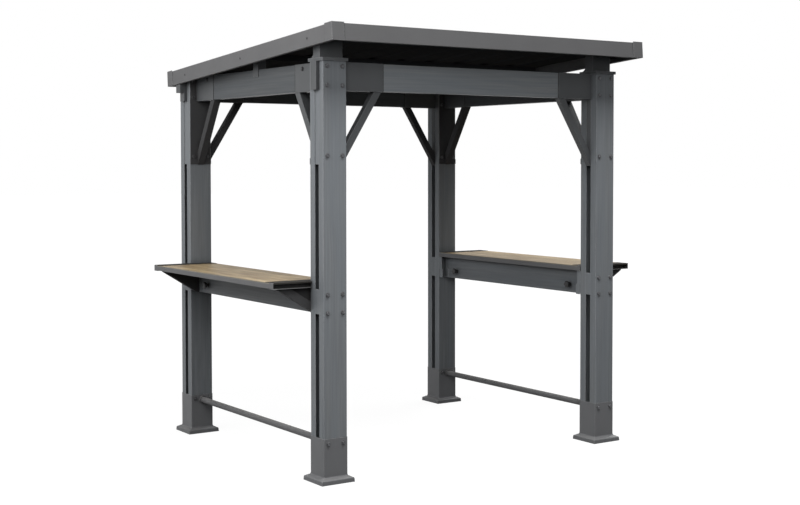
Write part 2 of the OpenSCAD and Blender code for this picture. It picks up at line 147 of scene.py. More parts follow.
# Tone of each board, from 0 to 1: where it starts, and how it moves from board to board and side to side
TONE_START = 0.37
TONE_STEP = 0.618
TONE_SIDE = 0.21

# Dark strips over the boards' ends, and their hems, which also hide the sheet that the boards lie on
STRIP_DEPTH = 0.095
STRIP_T = 0.0015
SHEET_T = 0.003
HEM_T = 0.0006

# Curved toe behind the risers on the front posts
CAP_THICKNESS = 0.017
RISER_W = 0.139
RISER_D = 0.069
TOE_RISE = 0.018
TOE_REACH = 0.033
TOE_STEPS = 6

# Softboxes: turn from the front towards the left and rise over the floor in degrees, distance and power
SOFTBOXES = {
    "left": (84, 28, 5.2, 132), "back left": (112, 8, 5.4, 52), "high front": (0, 61, 8.0, 610),
    "front left": (32, 22, 5.8, 108), "right": (-105, 42, 7.0, 230),
}
SOFTBOX_SIZE = (4.0, 3.0)
SOFTBOX_AIM = Vector((0.0, 0.0, 1.2))

# Studio dome's glow at the horizon and overhead
DOME_GLOW = (0.0, 0.02)

# Floor: half its width, the light it throws back, and its share of plain white, from near to far
FLOOR_HALF = 60.0
FLOOR_BOUNCE = (0.05, 0.05, 0.05, 1.0)
FLOOR_GLOW = 1.05
FLOOR_WHITE = (0.9, 1.0)
FLOOR_FADE = (2.0, 6.0)

# Camera at the photograph's viewing angle
CAMERA_PLACE = (-4.573, -7.0043, 1.700)
CAMERA_DOWN = math.radians(2.090)
CAMERA_TURN = math.radians(-34.641)
CAMERA_LENS = 61.06
CAMERA_SENSOR = 36
CAMERA_SHIFT = (-0.0425, -0.0510)


def swatch(red, green, blue):
    """Linear colour of a paint chip given in screen values from 0 to 255."""
    def linear(value):
        share = value / 255
        return share / 12.92 if share <= 0.04045 else ((share + 0.055) / 1.055) ** 2.4
    return linear(red), linear(green), linear(blue), 1.0


# Plain coats: dark and light tone on screen, roughness, gloss, and shares of rubbed edges with a painted
# highlight, of corner dirt with painted shade, and of dust
Coat = namedtuple("Coat", "dark light roughness gloss wear grime dust")
# The head coat is a lighter copy of the plain charcoal and the gusset coat a darker one, and the eave and
# corner cover coats are darker copies of the fascia coat: light and shade painted in by piece
COATS = {
    "plain charcoal": Coat((73, 75, 77), (78, 80, 82), 0.42, 0.25, 0.35, 0.6, 0.2),
    "head": Coat((96, 98, 100), (102, 104, 106), 0.55, 0.08, 0.9, 0.5, 0.2),
    "gusset": Coat((70, 70, 71), (75, 75, 76), 0.6, 0.03, 0.0, 0.7, 0.1),
    "rail": Coat((104, 104, 105), (109, 109, 110), 0.55, 0.1, 0.35, 0.95, 0.3),
    "base": Coat((104, 105, 107), (109, 110, 112), 0.5, 0.25, 1.0, 0.45, 0.2),
    "fascia": Coat((106, 106, 107), (111, 111, 112), 0.6, 0.08, 0.35, 0.45, 0.3),
    "shaded_eave": Coat((93, 93, 94), (98, 98, 99), 0.6, 0.08, 0.35, 0.45, 0.3),
    "corner cover": Coat((93, 93, 94), (98, 98, 99), 0.6, 0.08, 1.0, 0.6, 0.3),
    "roof sheet": Coat((66, 68, 71), (72, 74, 77), 0.85, 0.0, 0.35, 0.45, 0.08),
    "dark trim": Coat((54, 52, 50), (60, 58, 55), 0.7, 0.03, 0.0, 0.5, 0.0),
    "black knob": Coat((24, 24, 25), (30, 30, 31), 0.45, 0.3, 0.1, 0.5, 0.1),
}

# How a surface takes light: gloss, roughness of its dull and its smooth spots, bump depth and strength
Surface = namedtuple("Surface", "gloss dull smooth depth strength")
PRINT_SURFACE = Surface(0.1, 0.5, 0.38, 0.0006, 0.35)
WOOD_SURFACE = Surface(0.15, 0.55, 0.4, 0.0008, 0.4)
BOLT_SURFACE = Surface(0.5, 0.55, 0.38, 0.0002, 0.3)
BOLT_METAL = 0.35
COAT_SPREAD = 0.06
COAT_DEPTH = 0.0004
COAT_STRENGTH = 0.25

# Shares of rubbed edges with a painted highlight, corner dirt with painted shade and dust on the print and
# the bolts, and of dirt with painted shade between the boards
PRINT_WEATHER_AND_LIGHT = (0.9, 0.65, 0.3)
BOLT_WEATHER_AND_LIGHT = (0.3, 0.8, 0.1)
BOARD_DIRT_AND_SHADE = 0.6
BOARD_DIRT_AND_SHADE_REACH = 0.012

# Wood figure: stretch of its slow drift, its streaks and its fibres, and how far the drift bends the streaks
DRIFT_STRETCH = (2.5, 2.5, 0.9)
STREAK_STRETCH = (1.0, 1.0, 0.022)
FIBRE_STRETCH = (420.0, 420.0, 9.0)
DRIFT_REACH = 0.05

# Shares of bands and fibres in the print and in the wood, and of dark in the darkest board
PRINT_BANDS = 0.6
PRINT_FIBRES = 0.25
WOOD_BANDS = 0.8
WOOD_FIBRES = 0.3
DARKEST_BOARD = 0.5
BOARD_FIGURE = {"Streak Width": 0.009, "Band Width": 0.05, "Band Run": 0.2}
BOLT_SKIN = {"Peel": 900.0, "Mottle": 70.0}

# Coat whose tones the flanks of another coat take, painting light by facing: the corner covers' sides are as
# light as the side fascias, their fronts as dark as the shaded eaves
PAINTED_LIGHT_FLANKS = {"corner cover": "fascia"}

# Printed coats: the grain's direction and a factor on the print's colour that paints in light and shade, the
# front beam lighter, the back beam, side beams and aprons darker
PRINTS = {
    "post": ("Z", 1.0), "front beam": ("X", 1.3), "back beam": ("X", 0.6),
    "side beam": ("Y", 0.45), "apron": ("Y", 0.74),
}

# Colours of the print, the rubbed edges with their painted highlight, the corner dirt with its painted shade,
# the dust, the bolts and the wood
PRINT_DARK = swatch(114, 117, 120)
PRINT_MID = swatch(124, 127, 130)
PRINT_LIGHT = swatch(133, 136, 138)
PRINT_COOL = swatch(119, 125, 131)
BARE_EDGE_AND_HIGHLIGHT = swatch(172, 173, 175)
CORNER_DIRT_AND_SHADE = swatch(46, 45, 44)
DUST = swatch(158, 154, 146)
ZINC_DARK = swatch(62, 63, 66)
ZINC_LIGHT = swatch(88, 89, 92)
BLACK_STEEL = swatch(30, 30, 32)
BLACK_STEEL_LIGHT = swatch(42, 42, 44)
WOOD_PALE = swatch(210, 189, 150)
WOOD_TAN = swatch(188, 164, 122)
WOOD_DARK = swatch(126, 104, 74)
WOOD_SIDE_PAINTED_LIGHT = swatch(136, 129, 114)
WHITE = (1.0, 1.0, 1.0, 1.0)


def feed(tree, socket, value):
    """Links a socket to another, or sets its own value."""
    if isinstance(value, bpy.types.NodeSocket):
        tree.links.new(value, socket)
    else:
        socket.default_value = value


def put(tree, kind, feeds=None, **settings):
    """Adds one node with its settings and what feeds its inputs."""
    node = tree.nodes.new(kind)
    for name, value in settings.items():
        setattr(node, name, value)
    for name, value in (feeds or {}).items():
        feed(tree, node.inputs[name], value)
    return node


def calc(tree, operation, *values, clamp=False):
    node = put(tree, "ShaderNodeMath", operation=operation, use_clamp=clamp)
    for socket, value in zip(node.inputs, values):
        feed(tree, socket, value)
    return node.outputs[0]


def mingle(tree, share, first, second, blend="MIX"):
    """Mixes two colours."""
    node = put(tree, "ShaderNodeMix", data_type="RGBA", blend_type=blend)
    for place, value in zip((0, 6, 7), (share, first, second)):
        feed(tree, node.inputs[place], value)
    return node.outputs[2]


def stretch(tree, vector, factors):
    node = put(tree, "ShaderNodeVectorMath", operation="MULTIPLY")
    feed(tree, node.inputs[0], vector)
    feed(tree, node.inputs[1], factors)
    return node.outputs[0]


def span(tree, value, low, high, to_low=0.0, to_high=1.0):
    """Maps low..high to another range and holds it there."""
    feeds = {"Value": value, "From Min": low, "From Max": high, "To Min": to_low, "To Max": to_high}
    return put(tree, "ShaderNodeMapRange", feeds).outputs[0]


def clouds(tree, vector, scale, detail=2.0, roughness=0.5):
    feeds = {"Vector": vector, "Scale": scale, "Detail": detail, "Roughness": roughness}
    return put(tree, "ShaderNodeTexNoise", feeds).outputs[0]


def new_group(name, inputs, outputs):
    """Shader node group with named sockets: (name, kind, value) in, (name, kind) out."""
    group = bpy.data.node_groups.new(name, "ShaderNodeTree")
    for label, kind, value in inputs:
        socket = group.interface.new_socket(label, in_out="INPUT", socket_type="NodeSocket" + kind)
        if value is not None:
            socket.default_value = value
    for label, kind in outputs:
        group.interface.new_socket(label, in_out="OUTPUT", socket_type="NodeSocket" + kind)
    return group, group.nodes.new("NodeGroupInput").outputs, group.nodes.new("NodeGroupOutput").inputs


def use(tree, group, feeds):
    """Places a node group in a tree and returns its outputs."""
    node = put(tree, "ShaderNodeGroup", node_tree=group)
    for name, value in feeds.items():
        feed(tree, node.inputs[name], value)
    return node.outputs


def coat_skin_group():
    """Fine orange peel and soft mottling of a baked powder coat."""
    inputs = [("Vector", "Vector", None), ("Peel", "Float", 420.0), ("Mottle", "Float", 5.0)]
    group, given, made = new_group("coat skin", inputs, [("Tone", "Float"), ("Height", "Float")])
    broad = clouds(group, given["Vector"], given["Mottle"], 4.0, 0.55)
    peel = clouds(group, given["Vector"], given["Peel"], 2.0, 0.5)
    tone = calc(group, "MULTIPLY_ADD", peel, 0.3, span(group, broad, 0.3, 0.7, 0.0, 0.7))
    feed(group, made["Tone"], tone)
    feed(group, made["Height"], peel)
    return group


def wood_print_group():
    """Wood figure printed along Z: broad bands, long streaks and fine fibres."""
    inputs = [
        ("Vector", "Vector", None), ("Streak Width", "Float", 0.012),
        ("Band Width", "Float", 0.05), ("Band Run", "Float", 0.07),
    ]
    outputs = [("Streaks", "Float"), ("Bands", "Float"), ("Fibres", "Float"), ("Height", "Float")]
    group, given, made = new_group("wood print", inputs, outputs)
    drift = clouds(group, stretch(group, given["Vector"], DRIFT_STRETCH), 1.0, 1.0)
    bend = calc(group, "MULTIPLY", calc(group, "SUBTRACT", drift, 0.5), DRIFT_REACH)
    shift = put(group, "ShaderNodeCombineXYZ", {"X": bend, "Y": bend})
    bent = put(group, "ShaderNodeVectorMath", operation="ADD")
    feed(group, bent.inputs[0], given["Vector"])
    feed(group, bent.inputs[1], shift.outputs[0])
    streak_scale = calc(group, "DIVIDE", 1.0, given["Streak Width"])
    band_scale = calc(group, "DIVIDE", 1.0, given["Band Width"])
    streaks = clouds(group, stretch(group, bent.outputs[0], STREAK_STRETCH), streak_scale, 3.0, 0.6)
    band_run = put(group, "ShaderNodeCombineXYZ", {"X": 1.0, "Y": 1.0, "Z": given["Band Run"]}).outputs[0]
    bands = clouds(group, stretch(group, bent.outputs[0], band_run), band_scale, 2.0, 0.5)
    fibres = clouds(group, stretch(group, given["Vector"], FIBRE_STRETCH), 1.0, 2.0, 0.6)
    feed(group, made["Streaks"], span(group, streaks, 0.3, 0.7))
    feed(group, made["Bands"], span(group, bands, 0.28, 0.72))
    feed(group, made["Fibres"], span(group, fibres, 0.25, 0.75))
    feed(group, made["Height"], calc(group, "MULTIPLY_ADD", fibres, 0.4, streaks))
    return group


def worn_edges_and_highlight_group():
    """Mask of the rubbed, slightly bare corners of a piece, which also paints a highlight along them."""
    inputs = [("Vector", "Vector", None), ("Radius", "Float", 0.004), ("Breaks", "Float", 60.0)]
    group, given, made = new_group("worn edges and highlight", inputs, [("Mask", "Float")])
    rounded = put(group, "ShaderNodeBevel", {"Radius": given["Radius"]}, samples=4)
    surface = put(group, "ShaderNodeNewGeometry")
    turn = put(group, "ShaderNodeVectorMath", operation="DOT_PRODUCT")
    feed(group, turn.inputs[0], rounded.outputs[0])
    feed(group, turn.inputs[1], surface.outputs["Normal"])
    bend = span(group, calc(group, "SUBTRACT", 1.0, turn.outputs["Value"]), 0.02, 0.2)
    breaks = span(group, clouds(group, given["Vector"], given["Breaks"], 3.0, 0.6), 0.35, 0.65, 0.35, 1.0)
    feed(group, made["Mask"], calc(group, "MULTIPLY", bend, breaks))
    return group


def corner_dirt_and_shade_group():
    """Mask of dirt and painted shade in inner corners, slots and under overhangs, stronger where a point is
    more hidden.
    """
    inputs = [("Vector", "Vector", None), ("Reach", "Float", 0.05)]
    group, given, made = new_group("corner grime", inputs, [("Mask", "Float")])
    hollow = put(group, "ShaderNodeAmbientOcclusion", {"Distance": given["Reach"]}, samples=6)
    depth = span(group, hollow.outputs["AO"], 0.25, 0.95, 1.0, 0.0)
    patches = span(group, clouds(group, given["Vector"], 14.0, 4.0, 0.6), 0.3, 0.7, 0.6, 1.0)
    feed(group, made["Mask"], calc(group, "MULTIPLY", depth, patches))
    return group


def settled_dust_group():
    """Mask of dust on faces that look up, thinner where it is wiped."""
    inputs = [("Vector", "Vector", None), ("Patch", "Float", 9.0)]
    group, given, made = new_group("settled dust", inputs, [("Mask", "Float")])
    surface = put(group, "ShaderNodeNewGeometry")
    parts = put(group, "ShaderNodeSeparateXYZ", {"Vector": surface.outputs["Normal"]})
    upward = span(group, parts.outputs["Z"], 0.5, 1.0)
    patches = span(group, clouds(group, given["Vector"], given["Patch"], 5.0, 0.65), 0.3, 0.75)
    feed(group, made["Mask"], calc(group, "MULTIPLY", upward, patches))
    return group


coat_skin = coat_skin_group()
wood_print = wood_print_group()
worn_edges_and_highlight = worn_edges_and_highlight_group()
corner_dirt_and_shade = corner_dirt_and_shade_group()
settled_dust = settled_dust_group()


def new_finish(name, colour, gloss):
    """Material with its tree, its shader and the piece's own coordinates."""
    finish = bpy.data.materials.new(name)
    finish.use_nodes = True
    finish.diffuse_color = colour
    tree = finish.node_tree
    shader = tree.nodes["Principled BSDF"]
    shader.inputs["Specular IOR Level"].default_value = gloss
    place = put(tree, "ShaderNodeTexCoord").outputs["Object"]
    return finish, tree, shader, place


def turn_grain(tree, place, along):
    """Turns the coordinates so that the grain's direction becomes Z."""
    turns = {"X": (0, -math.pi / 2, 0), "Y": (math.pi / 2, 0, 0), "Z": (0, 0, 0)}
    node = put(tree, "ShaderNodeMapping", {"Vector": place, "Rotation": turns[along]})
    return node.outputs[0]


def facing_sideways(tree):
    """1 on faces that look along X, 0 on faces square to it."""
    normal = put(tree, "ShaderNodeTexCoord").outputs["Normal"]
    return calc(tree, "ABSOLUTE", put(tree, "ShaderNodeSeparateXYZ", {"Vector": normal}).outputs["X"])


def dress(tree, shader, surface, colour, texture, height):
    """Gives a shader its colour, its roughness by a texture and its bump by a height."""
    feed(tree, shader.inputs["Base Color"], colour)
    feed(tree, shader.inputs["Roughness"], span(tree, texture, 0.0, 1.0, surface.dull, surface.smooth))
    feeds = {"Height": height, "Distance": surface.depth, "Strength": surface.strength}
    feed(tree, shader.inputs["Normal"], put(tree, "ShaderNodeBump", feeds).outputs[0])


def weather_and_painted_light(tree, place, colour, wear, grime, dust):
    """Adds bare edges with a painted highlight, corner dirt with painted shade, and dust to a colour, each by
    its own share.
    """
    # Rubbed edges are lightened, which also paints a highlight along them, and hollows and the undersides of
    # overhangs are darkened by dirt that also paints shade there
    edges = use(tree, worn_edges_and_highlight, {"Vector": place})["Mask"]
    corners = use(tree, corner_dirt_and_shade, {"Vector": place})["Mask"]
    settled = use(tree, settled_dust, {"Vector": place})["Mask"]
    colour = mingle(tree, calc(tree, "MULTIPLY", edges, wear), colour, BARE_EDGE_AND_HIGHLIGHT)
    colour = mingle(tree, calc(tree, "MULTIPLY", corners, grime), colour, CORNER_DIRT_AND_SHADE)
    return mingle(tree, calc(tree, "MULTIPLY", settled, dust), colour, DUST)


def plain_coat(name, coat, painted_light_flank=None):
    """Plain satin powder coat on sheet steel, with another coat's tones painted as light on its flanks if
    given.
    """
    dull, smooth = coat.roughness + COAT_SPREAD, coat.roughness - COAT_SPREAD
    surface = Surface(coat.gloss, dull, smooth, COAT_DEPTH, COAT_STRENGTH)
    finish, tree, shader, place = new_finish(name, swatch(*coat.light), surface.gloss)
    skin = use(tree, coat_skin, {"Vector": place})
    colour = mingle(tree, skin["Tone"], swatch(*coat.dark), swatch(*coat.light))
    if painted_light_flank:
        painted_light_flank_colour = mingle(tree, skin["Tone"], swatch(*painted_light_flank.dark), swatch(*painted_light_flank.light))
        # The flanks take the other coat's tones, painting light by which way a face looks
        colour = mingle(tree, facing_sideways(tree), colour, painted_light_flank_colour)
    colour = weather_and_painted_light(tree, place, colour, coat.wear, coat.grime, coat.dust)
    dress(tree, shader, surface, colour, skin["Tone"], skin["Height"])
    return finish


def printed_coat(name, along, painted_light_factor):
    """Powder coat with a charcoal wood figure printed and lightly embossed along one axis, its colour scaled
    to paint in light and shade.
    """
    finish, tree, shader, place = new_finish(name, PRINT_MID, PRINT_SURFACE.gloss)
    skin = use(tree, coat_skin, {"Vector": place})
    figure = use(tree, wood_print, {"Vector": turn_grain(tree, place, along)})
    colour = mingle(tree, figure["Streaks"], PRINT_DARK, PRINT_LIGHT)
    colour = mingle(tree, calc(tree, "MULTIPLY", figure["Bands"], PRINT_BANDS), colour, PRINT_COOL)
    colour = mingle(tree, span(tree, figure["Fibres"], 0.0, 1.0, PRINT_FIBRES, 0.0), colour, PRINT_DARK)
    # The print's colour is scaled up or down, painting in the light and shade that falls on each piece
    colour = mingle(tree, 1.0, colour, (painted_light_factor, painted_light_factor, painted_light_factor, 1.0), "MULTIPLY")
    colour = weather_and_painted_light(tree, place, colour, *PRINT_WEATHER_AND_LIGHT)
    height = calc(tree, "MULTIPLY_ADD", skin["Height"], 0.2, figure["Height"])
    dress(tree, shader, PRINT_SURFACE, colour, figure["Streaks"], height)
    return finish


def bar_wood_finish():
    """Oiled tan boards with long grain, each board of its own tone, with a grey painted as light on their
    sides and dirt with painted shade in their gaps.
    """
    finish, tree, shader, place = new_finish("oiled bar boards", WOOD_TAN, WOOD_SURFACE.gloss)
    figure = use(tree, wood_print, {"Vector": turn_grain(tree, place, "Y"), **BOARD_FIGURE})
    given = put(tree, "ShaderNodeAttribute", attribute_name="board_tone", attribute_type="GEOMETRY")
    tone = given.outputs["Fac"]
    colour = mingle(tree, span(tree, figure["Streaks"], 0.15, 0.75), WOOD_TAN, WOOD_PALE)
    colour = mingle(tree, calc(tree, "MULTIPLY", figure["Bands"], WOOD_BANDS), colour, WOOD_DARK)
    colour = mingle(tree, span(tree, figure["Fibres"], 0.0, 1.0, WOOD_FIBRES, 0.0), colour, WOOD_DARK)
    colour = mingle(tree, span(tree, tone, 0.0, 1.0, 0.0, DARKEST_BOARD), colour, WOOD_DARK)
    # A greyer, darker tone is painted on the boards' sides, standing in for the light that falls on them
    colour = mingle(tree, span(tree, facing_sideways(tree), 0.05, 0.4), colour, WOOD_SIDE_PAINTED_LIGHT)
    # Dirt in the gaps between the boards, which is also painted shade there
    corners = use(tree, corner_dirt_and_shade, {"Vector": place, "Reach": BOARD_DIRT_AND_SHADE_REACH})["Mask"]
    colour = mingle(tree, calc(tree, "MULTIPLY", corners, BOARD_DIRT_AND_SHADE), colour, CORNER_DIRT_AND_SHADE)
    dress(tree, shader, WOOD_SURFACE, colour, figure["Fibres"], figure["Height"])
    return finish


def bolt_finish(name, dark, light):
    """Dull steel of bolts and screws."""
    finish, tree, shader, place = new_finish(name, light, BOLT_SURFACE.gloss)
    shader.inputs["Metallic"].default_value = BOLT_METAL
    skin = use(tree, coat_skin, {"Vector": place, **BOLT_SKIN})
    colour = weather_and_painted_light(tree, place, mingle(tree, skin["Tone"], dark, light), *BOLT_WEATHER_AND_LIGHT)
    dress(tree, shader, BOLT_SURFACE, colour, skin["Tone"], skin["Height"])
    return finish


coats = {
    kind: plain_coat(f"{kind} coat", coat, COATS.get(PAINTED_LIGHT_FLANKS.get(kind))) for kind, coat in COATS.items()
}
prints = {kind: printed_coat(f"{kind} print", axis, painted_light_factor) for kind, (axis, painted_light_factor) in PRINTS.items()}
bar_wood = bar_wood_finish()
zinc = bolt_finish("dull zinc", ZINC_DARK, ZINC_LIGHT)
black_steel = bolt_finish("black steel", BLACK_STEEL, BLACK_STEEL_LIGHT)


def finish_of(name):
    """Finish of a CAD node, by its whole name or by how its name ends."""
    # Gussets, brace seats, back braces, the fascias at front and back and their corner covers take darker
    # copies of a paint, and heads and cross beam sleeves a lighter one, painting in light and shade
    whole = {
        "front_beam": prints["front beam"], "back_beam": prints["back beam"],
        "left_beam": prints["side beam"], "right_beam": prints["side beam"],
        "slot_clips": prints["post"], "apron_hangers": prints["post"],
        "bar_gussets": coats["gusset"], "brace_seats": coats["gusset"],
        "back_left_braces": coats["gusset"], "back_right_braces": coats["gusset"],
        "front_fascia": coats["shaded_eave"], "back_fascia": coats["shaded_eave"], "fascia_corners": coats["corner cover"],
        "roof_sheet": coats["roof sheet"], "roof_purlins": coats["roof sheet"],
        "cross_beam_sleeves": coats["head"],
    }
    ends = {
        "_post": prints["post"], "_apron": prints["apron"], "_boards": bar_wood, "_head": coats["head"],
        "_base": coats["base"], "_fascia": coats["fascia"], "_bar_frame": coats["rail"],
        "_foot_rail": coats["rail"], "_sockets": coats["rail"],
    }
    by_end = [finish for ending, finish in ends.items() if name.endswith(ending)]
    return whole.get(name) or (by_end + [coats["plain charcoal"]])[0]


def soften_edges(piece):
    """Rounds the sharp edges of a piece and keeps its flat faces flat."""
    weld = piece.modifiers.new("weld", "WELD")
    weld.merge_threshold = WELD_GAP
    flat = piece.modifiers.new("whole faces", "DECIMATE")
    flat.decimate_type = "DISSOLVE"
    flat.angle_limit = FLAT_ANGLE
    bend = piece.modifiers.new("rounded edges", "BEVEL")
    bend.width = EDGE_ROUND
    bend.segments = EDGE_STEPS
    bend.limit_method = "ANGLE"
    bend.angle_limit = SHARP_ANGLE
    bend.use_clamp_overlap = True
    even = piece.modifiers.new("flat shading", "WEIGHTED_NORMAL")
    even.weight = FLAT_WEIGHT


def coat_steel():
    for name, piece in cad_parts.items():
        piece.data.materials.clear()
        piece.data.materials.append(finish_of(name))
        soften_edges(piece)


def new_piece(name, shape, finish, stands_for=()):
    """Turns a drawn shape into a piece that rides on the frame."""
    mesh = bpy.data.meshes.new(name)
    bmesh.ops.recalc_face_normals(shape, faces=shape.faces[:])
    shape.to_mesh(mesh)
    shape.free()
    mesh.materials.append(finish)
    piece = bpy.data.objects.new(name, mesh)
    bpy.context.scene.collection.objects.link(piece)
    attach(piece, "root")
    if stands_for:
        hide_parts(*stands_for)
    return piece


def facing(point, direction, turn=0.0):
    """Place at a point whose Z looks along a direction."""
    aim = Vector(direction).to_track_quat("Z", "Y").to_matrix().to_4x4()
    return Matrix.Translation(point) @ aim @ Matrix.Rotation(turn, 4, "Z")


def turned_form(shape, place, rings, sides, lobes=0, dip=0.0):
    """Adds a closed form through rings of (radius, height) about the place's Z axis, lobed if asked for."""
    loops = []
    for radius, height in rings:
        corners = [math.tau * i / sides for i in range(sides)]
        reach = [radius * (1 - dip / 2 + dip / 2 * math.cos(lobes * a)) for a in corners]
        points = [Vector((r * math.cos(a), r * math.sin(a), height)) for r, a in zip(reach, corners)]
        loops.append([shape.verts.new(place @ p) for p in points])
    for low, high in zip(loops, loops[1:]):
        for i in range(sides):
            j = (i + 1) % sides
            shape.faces.new((low[i], low[j], high[j], high[i]))
    shape.faces.new(loops[0][::-1])
    shape.faces.new(loops[-1])


def prism(shape, low_loop, shift):
    """Adds a closed form between a loop of points and the same loop shifted."""
    loops = [[shape.verts.new(Vector(p) + s) for p in low_loop] for s in (Vector(), Vector(shift))]
    shape.faces.new(loops[0])
    shape.faces.new(loops[1][::-1])
    for i in range(len(low_loop)):
        j = (i + 1) % len(low_loop)
        shape.faces.new((loops[0][j], loops[0][i], loops[1][i], loops[1][j]))


def round_edges(shape, width):
    edges = shape.edges[:]
    bmesh.ops.bevel(shape, geom=edges, offset=width, segments=EDGE_STEPS, profile=EDGE_ARC, affect="EDGES")


def scaled(profile, size):
    """Rings of a profile that is given in shares of a radius and a height."""
    radius, height = size
    return [(radius * across, height * up) for across, up in profile]


def washer(shape, place, size):
    radius, height = size
    edge = height * WASHER_EDGE
    turned_form(shape, place, [(radius, 0), (radius, height - edge), (radius - edge, height)], WASHER_SIDES)


def hex_head(shape, place, size, base):
    """Six-sided head with a chamfered, slightly dished top, standing on a base height."""
    turned_form(shape, place, [(size[0], base)] + scaled(HEX_PROFILE, size), HEX_SIDES)


def hex_bolt(shape, point, direction, turn):
    place = facing(point, direction, turn)
    washer(shape, place, WASHER)
    hex_head(shape, place, BOLT_HEAD, WASHER[1])


def bolt_rows(node_end, node_side):
    """Heights of the bolt rows on a post, from its top down."""
    post_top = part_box(f"{node_end}_{node_side}_post")[1].z
    apron_low, apron_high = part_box(f"{node_side}_apron")
    return [
        post_top - HEAD_BOLT_DROP,
        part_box("cross_beam_sleeves")[0].z + HEAD_BOLT_RISE,
        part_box("brace_seats")[0].z + BRACE_BOLT_RISE,
        apron_high.z - APRON_BOLT_DROP,
        apron_low.z + APRON_BOLT_RISE,
    ]


def post_bolts(end, side):
    """Bolt pairs on one post and its boot: dull zinc on the outer face, black on the inner one."""
    low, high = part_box(f"{end}_{side}_post")
    boot_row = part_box(f"{end}_{side}_base")[1].z - BOOT_BOLT_DROP
    middle = (low + high) / 2
    half = (high.y - low.y) / 2
    rows = bolt_rows(end, side)
    faces = {"outer": (ENDS[end], rows, zinc), "inner": (-ENDS[end], rows[:INNER_ROWS], black_steel)}
    for face, (way, heights, finish) in faces.items():
        shape = bmesh.new()
        places = [(half, z) for z in heights] + [(half + BOOT_WALL, boot_row)]
        for count, (reach, height) in enumerate(places):
            for offset in (-POST_BOLT_SET, POST_BOLT_SET):
                point = (middle.x + offset, middle.y + way * reach, height)
                hex_bolt(shape, point, (0, way, 0), GOLDEN_TURN * count + offset)
        new_piece(f"{end}_{side}_{face}_bolts", shape, finish)


def apron_knobs(side):
    """Lobed clamping knob on a neck near each end of an apron, on both of its faces."""
    shape = bmesh.new()
    low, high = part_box(f"{side}_apron")
    for y in (low.y + KNOB_SET, high.y - KNOB_SET):
        for x, way in ((low.x, -1), (high.x, 1)):
            place = facing((x, y, low.z + KNOB_RISE), (way, 0, 0), y)
            turned_form(shape, place, scaled(NECK_PROFILE, KNOB), NECK_SIDES)
            turned_form(shape, place, scaled(KNOB_PROFILE, KNOB), KNOB_SIDES, KNOB_LOBES, KNOB_DIP)
    new_piece(f"{side}_apron_knobs", shape, coats["black knob"])


def purlin_lines():
    """Y of the front, middle and back purlins."""
    front_low, front_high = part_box("front_left_post")
    strut_low, strut_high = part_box("purlin_struts")
    back_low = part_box("back_left_post")[0]
    return [(front_low.y + front_high.y) / 2, (strut_low.y + strut_high.y) / 2, back_low.y - BACK_PURLIN_SET]


def fascia_screws(side):
    """Pan-head screws through a side fascia into the purlins' ends."""
    shape = bmesh.new()
    low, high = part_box(f"{side}_fascia")
    outer = high.x if SIDES[side] > 0 else low.x
    slope = (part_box("back_fascia")[1].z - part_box("front_fascia")[1].z) / (high.y - low.y)
    for y in purlin_lines():
        top = high.z + slope * (y - low.y)
        place = facing((outer, y, top - FASCIA_SCREW_DROP), (SIDES[side], 0, 0))
        turned_form(shape, place, scaled(PAN_PROFILE, PAN_HEAD), PAN_SIDES)
    new_piece(f"{side}_fascia_screws", shape, black_steel)


def sleeve_bolts(side):
    """Bolt on the outer face of each side beam's sleeves."""
    shape = bmesh.new()
    low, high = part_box("side_beam_sleeves")
    face = low.x if SIDES[side] < 0 else high.x
    for y in (low.y + SLEEVE_BOLT_SET, high.y - SLEEVE_BOLT_SET):
        hex_bolt(shape, (face, y, high.z - SLEEVE_BOLT_DROP), (SIDES[side], 0, 0), y)
    new_piece(f"{side}_sleeve_bolts", shape, black_steel)


def roof_screws():
    """Sealing screws on the roof sheet's ribs, over the purlins."""
    shape = bmesh.new()
    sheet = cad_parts["roof_sheet"]
    above = cad_high.z + 1
    for rib in range(-RIBS_EACH_SIDE, RIBS_EACH_SIDE + 1):
        for y in purlin_lines():
            found, point, normal, _ = sheet.ray_cast((rib * RIB_PITCH, y, above), (0, 0, -1))
            if found:
                place = facing(point, normal, y + rib)
                washer(shape, place, ROOF_WASHER)
                hex_head(shape, place, ROOF_SCREW, ROOF_WASHER[1])
    new_piece("roof_screws", shape, zinc)


def board_shape(near, far, ends, thick_ends, low_z, high_z):
    """Board along Y, thinner past its thick part, with rounded edges."""
    lap_z = high_z - LAP_THICKNESS
    outline = [
        (thick_ends[0], low_z), (thick_ends[1], low_z), (thick_ends[1], lap_z), (ends[1], lap_z),
        (ends[1], high_z), (ends[0], high_z), (ends[0], lap_z), (thick_ends[0], lap_z),
    ]
    shape = bmesh.new()
    prism(shape, [(near, y, z) for y, z in outline], (far - near, 0, 0))
    bmesh.ops.recalc_face_normals(shape, faces=shape.faces[:])
    round_edges(shape, BOARD_ROUND)
    return shape


